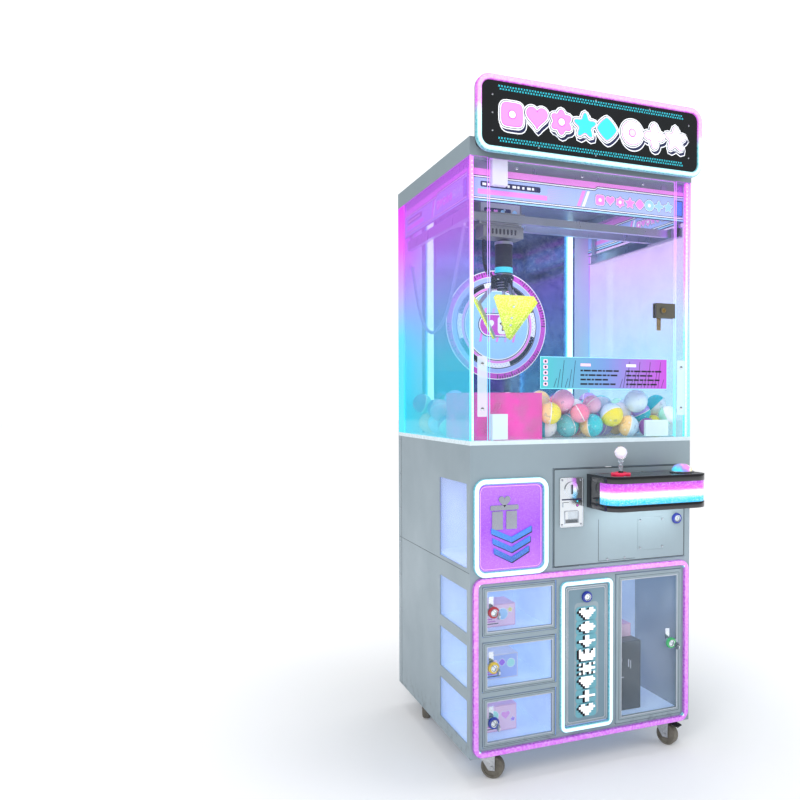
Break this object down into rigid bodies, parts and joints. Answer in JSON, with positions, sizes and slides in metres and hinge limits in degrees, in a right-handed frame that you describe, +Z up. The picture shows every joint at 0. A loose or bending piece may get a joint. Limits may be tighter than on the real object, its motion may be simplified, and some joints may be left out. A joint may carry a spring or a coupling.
{
  "type": "claw crane machine",
  "caption": "Arcade prize machine with a glass cabin, a claw on a travelling gantry, a joystick box, prize flap, lockers and casters.",
  "frame": {"origin": "on the floor, under the middle of the machine's bounding box with every door closed", "axes": "+X across the front to the right, +Y from the front to the back, +Z up"},
  "size_m": [0.73, 0.828, 1.95],
  "materials": {
    "cabinet_metal": "satin blue-grey powder coat",
    "frame_metal": "satin grey powder coat",
    "deck_board": "matt white laminate",
    "liner_metal": "white powder coat",
    "clear_glass": "clear tempered glass",
    "mirror_glass": "silvered glass panel",
    "light_tube": "translucent light diffuser",
    "header_print": "printed acrylic board",
    "sign_shell": "gloss navy housing",
    "sign_panel": "black mirror-gloss acrylic",
    "chute_acrylic": "pink acrylic",
    "ball_vinyl": "soft vinyl in pastel colours",
    "zinc": "zinc plated steel",
    "black_metal": "black powder coat",
    "chrome_trim": "polished chrome",
    "brass_lock": "brass",
    "control_plastic": "gloss printed control housing",
    "clear_plastic": "clear moulded plastic",
    "glitter_plastic": "glitter-filled acrylic",
    "fin_plastic": "yellow-green glitter plastic",
    "cable_rubber": "cable jacket",
    "cord_fabric": "braided cord",
    "wheel_rubber": "grey-brown rubber tread"
  },
  "bodies": {
    "root": {"base_frame": "frame_metal", "cabin_deck": "deck_board", "cabin_glass": "clear_glass", "chute_box": "chute_acrylic", "electronics": "black_metal", "festoon_cable": "cable_rubber", "front_fascia": "cabinet_metal", "gantry_rails": "zinc", "header_boards": "header_print", "inner_liners": "liner_metal", "light_tubes": "light_tube", "mirror_panel": "mirror_glass", "prize_balls": "ball_vinyl", "rear_frame": "frame_metal", "roof_cover": "frame_metal", "side_panel_left": "cabinet_metal", "side_panel_right": "cabinet_metal", "sign_box": "sign_shell", "sign_face": "sign_panel"},
    "bridge": {"gantry_bridge": "zinc"},
    "trolley": {"trolley": "black_metal", "hoist_cord": "cord_fabric", "coil_cord": "cable_rubber"},
    "winch_drum": {"winch_drum": "zinc"},
    "claw": {"claw_solenoid": "zinc"},
    "plunger": {"claw_plunger": "zinc"},
    "arm_front": {"claw_arm_front": "fin_plastic"},
    "arm_left": {"claw_arm_left": "fin_plastic"},
    "arm_right": {"claw_arm_right": "fin_plastic"},
    "glass_door": {"glass_door": "clear_glass", "glass_door_fittings": "chrome_trim"},
    "glass_lock": {"glass_lock": "brass_lock"},
    "prize_flap": {"prize_flap": "glitter_plastic"},
    "tall_door": {"tall_door": "cabinet_metal"},
    "tall_lock": {"tall_lock": "brass_lock"},
    "centre_door": {"centre_door": "cabinet_metal"},
    "centre_lock": {"centre_lock": "brass_lock"},
    "control_door": {"control_door": "cabinet_metal", "control_box": "control_plastic", "stick_bracket": "zinc", "coin_acceptor": "chrome_trim"},
    "control_lock": {"control_lock": "brass_lock"},
    "reject_lever": {"reject_lever": "chrome_trim"},
    "joystick_gimbal": {"joystick_gimbal": "zinc"},
    "joystick": {"joystick": "clear_plastic"},
    "start_button": {"start_button": "clear_plastic"},
    "caster_brake": {"caster_brake": "zinc"},
    "locker_door_bottom": {"locker_door_bottom": "cabinet_metal"},
    "locker_lock_bottom": {"locker_lock_bottom": "brass_lock"},
    "locker_door_middle": {"locker_door_middle": "cabinet_metal"},
    "locker_lock_middle": {"locker_lock_middle": "brass_lock"},
    "locker_door_top": {"locker_door_top": "cabinet_metal"},
    "locker_lock_top": {"locker_lock_top": "brass_lock"},
    "caster_fork_front_left": {"caster_fork_front_left": "zinc"},
    "caster_wheel_front_left": {"caster_wheel_front_left": "wheel_rubber"},
    "caster_fork_front_right": {"caster_fork_front_right": "zinc"},
    "caster_wheel_front_right": {"caster_wheel_front_right": "wheel_rubber"},
    "caster_fork_rear_left": {"caster_fork_rear_left": "zinc"},
    "caster_wheel_rear_left": {"caster_wheel_rear_left": "wheel_rubber"},
    "caster_fork_rear_right": {"caster_fork_rear_right": "zinc"},
    "caster_wheel_rear_right": {"caster_wheel_rear_right": "wheel_rubber"}
  },
  "joints": [
    {"name": "bridge_slide", "type": "slide", "parent": "root", "child": "bridge", "axis": [0, 1, 0], "range_m": [0, 0.34], "deforming": ["festoon_cable"]},
    {"name": "trolley_slide", "type": "slide", "parent": "bridge", "child": "trolley", "axis": [1, 0, 0], "range_m": [0, 0.41]},
    {"name": "claw_hoist", "type": "slide", "parent": "trolley", "child": "claw", "axis": [0, 0, 1], "range_m": [-0.14, 0], "deforming": ["hoist_cord", "coil_cord"]},
    {"name": "drum_spin", "type": "hinge", "parent": "trolley", "child": "winch_drum", "pos_m": [-0.2222, -0.146, 1.625], "axis": [0, 1, 0], "range_deg": [0, 530]},
    {"name": "arm_front_swing", "type": "hinge", "parent": "claw", "child": "arm_front", "pos_m": [-0.207, -0.178, 1.412], "axis": [-1, 0, 0], "range_deg": [0, 35]},
    {"name": "arm_left_swing", "type": "hinge", "parent": "claw", "child": "arm_left", "pos_m": [-0.23471, -0.13, 1.412], "axis": [0.5, 0.866, 0], "range_deg": [0, 35]},
    {"name": "arm_right_swing", "type": "hinge", "parent": "claw", "child": "arm_right", "pos_m": [-0.17929, -0.13, 1.412], "axis": [0.5, -0.866, 0], "range_deg": [0, 35]},
    {"name": "plunger_travel", "type": "slide", "parent": "claw", "child": "plunger", "axis": [0, 0, 1], "range_m": [-0.0121, 0]},
    {"name": "glass_door_hinge", "type": "hinge", "parent": "root", "child": "glass_door", "pos_m": [-0.295, -0.2655, 1.353], "axis": [0, 0, 1], "range_deg": [-90, 0]},
    {"name": "glass_lock_turn", "type": "hinge", "parent": "glass_door", "child": "glass_lock", "pos_m": [0.259, -0.276, 1.347], "axis": [0, -1, 0], "range_deg": [0, 90]},
    {"name": "prize_flap_hinge", "type": "hinge", "parent": "root", "child": "prize_flap", "pos_m": [-0.24, -0.2732, 0.834], "axis": [1, 0, 0], "range_deg": [0, 70]},
    {"name": "locker_door_bottom_hinge", "type": "hinge", "parent": "root", "child": "locker_door_bottom", "pos_m": [-0.106, -0.272, 0.1785], "axis": [0, 0, 1], "range_deg": [0, 90]},
    {"name": "locker_lock_bottom_turn", "type": "hinge", "parent": "locker_door_bottom", "child": "locker_lock_bottom", "pos_m": [-0.296, -0.272, 0.1765], "axis": [0, -1, 0], "range_deg": [0, 90]},
    {"name": "locker_door_middle_hinge", "type": "hinge", "parent": "root", "child": "locker_door_middle", "pos_m": [-0.106, -0.272, 0.3335], "axis": [0, 0, 1], "range_deg": [0, 90]},
    {"name": "locker_lock_middle_turn", "type": "hinge", "parent": "locker_door_middle", "child": "locker_lock_middle", "pos_m": [-0.296, -0.272, 0.3315], "axis": [0, -1, 0], "range_deg": [0, 90]},
    {"name": "locker_door_top_hinge", "type": "hinge", "parent": "root", "child": "locker_door_top", "pos_m": [-0.106, -0.272, 0.4885], "axis": [0, 0, 1], "range_deg": [0, 90]},
    {"name": "locker_lock_top_turn", "type": "hinge", "parent": "locker_door_top", "child": "locker_lock_top", "pos_m": [-0.296, -0.272, 0.4865], "axis": [0, -1, 0], "range_deg": [0, 90]},
    {"name": "tall_door_hinge", "type": "hinge", "parent": "root", "child": "tall_door", "pos_m": [0.106, -0.272, 0.333], "axis": [0, 0, 1], "range_deg": [-100, 0]},
    {"name": "tall_lock_turn", "type": "hinge", "parent": "tall_door", "child": "tall_lock", "pos_m": [0.295, -0.272, 0.3315], "axis": [0, 1, 0], "range_deg": [0, 90]},
    {"name": "centre_door_hinge", "type": "hinge", "parent": "root", "child": "centre_door", "pos_m": [0, -0.272, 0.134], "axis": [1, 0, 0], "range_deg": [0, 85]},
    {"name": "centre_lock_turn", "type": "hinge", "parent": "centre_door", "child": "centre_lock", "pos_m": [0, -0.272, 0.502], "axis": [0, -1, 0], "range_deg": [0, 90]},
    {"name": "control_door_hinge", "type": "hinge", "parent": "root", "child": "control_door", "pos_m": [-0.103, -0.272, 0.737], "axis": [0, 0, 1], "range_deg": [-100, 0]},
    {"name": "control_lock_turn", "type": "hinge", "parent": "control_door", "child": "control_lock", "pos_m": [0.314, -0.272, 0.714], "axis": [0, 1, 0], "range_deg": [0, 90]},
    {"name": "reject_press", "type": "slide", "parent": "control_door", "child": "reject_lever", "axis": [0, 1, 0], "range_m": [0, 0.004], "stiffness_N_per_m": 300, "springref_m": -0.002},
    {"name": "joystick_fore_aft", "type": "hinge", "parent": "control_door", "child": "joystick_gimbal", "pos_m": [0.073, -0.346, 0.835], "axis": [1, 0, 0], "range_deg": [-12, 12], "stiffness_Nm_per_rad": 1.5},
    {"name": "joystick_side", "type": "hinge", "parent": "joystick_gimbal", "child": "joystick", "pos_m": [0.073, -0.346, 0.835], "axis": [0, 1, 0], "range_deg": [-12, 12], "stiffness_Nm_per_rad": 1.5},
    {"name": "start_press", "type": "slide", "parent": "control_door", "child": "start_button", "axis": [0, 0, 1], "range_m": [-0.004, 0], "stiffness_N_per_m": 1500, "springref_m": 0.002},
    {"name": "caster_front_left_swivel", "type": "hinge", "parent": "root", "child": "caster_fork_front_left", "pos_m": [-0.3, -0.214, 0.075], "axis": [0, 0, 1], "continuous": true},
    {"name": "caster_front_left_roll", "type": "hinge", "parent": "caster_fork_front_left", "child": "caster_wheel_front_left", "pos_m": [-0.27794, -0.23124, 0.033], "axis": [0.6157, 0.788, 0], "continuous": true},
    {"name": "caster_front_right_swivel", "type": "hinge", "parent": "root", "child": "caster_fork_front_right", "pos_m": [0.3, -0.214, 0.075], "axis": [0, 0, 1], "continuous": true},
    {"name": "caster_front_right_roll", "type": "hinge", "parent": "caster_fork_front_right", "child": "caster_wheel_front_right", "pos_m": [0.31227, -0.23917, 0.033], "axis": [0.8988, 0.4384, 0], "continuous": true},
    {"name": "caster_rear_left_swivel", "type": "hinge", "parent": "root", "child": "caster_fork_rear_left", "pos_m": [-0.3, 0.284, 0.075], "axis": [0, 0, 1], "continuous": true},
    {"name": "caster_rear_left_roll", "type": "hinge", "parent": "caster_fork_rear_left", "child": "caster_wheel_rear_left", "pos_m": [-0.31315, 0.25928, 0.033], "axis": [0.8829, -0.4695, 0], "continuous": true},
    {"name": "caster_rear_right_swivel", "type": "hinge", "parent": "root", "child": "caster_fork_rear_right", "pos_m": [0.3, 0.284, 0.075], "axis": [0, 0, 1], "continuous": true},
    {"name": "caster_rear_right_roll", "type": "hinge", "parent": "caster_fork_rear_right", "child": "caster_wheel_rear_right", "pos_m": [0.27575, 0.298, 0.033], "axis": [-0.5, -0.866, 0], "continuous": true},
    {"name": "caster_brake_press", "type": "hinge", "parent": "caster_fork_front_right", "child": "caster_brake", "pos_m": [0.31359, -0.24186, 0.0732], "axis": [0.8988, 0.4384, 0], "range_deg": [0, 12]}
  ],
  "couplings": [
    {"joint": "drum_spin", "follows": "claw_hoist", "rad_per_m": -65.79},
    {"joint": "arm_left_swing", "follows": "arm_front_swing", "ratio": 1},
    {"joint": "arm_right_swing", "follows": "arm_front_swing", "ratio": 1},
    {"joint": "plunger_travel", "follows": "arm_front_swing", "m_per_rad": -0.0196}
  ]
}
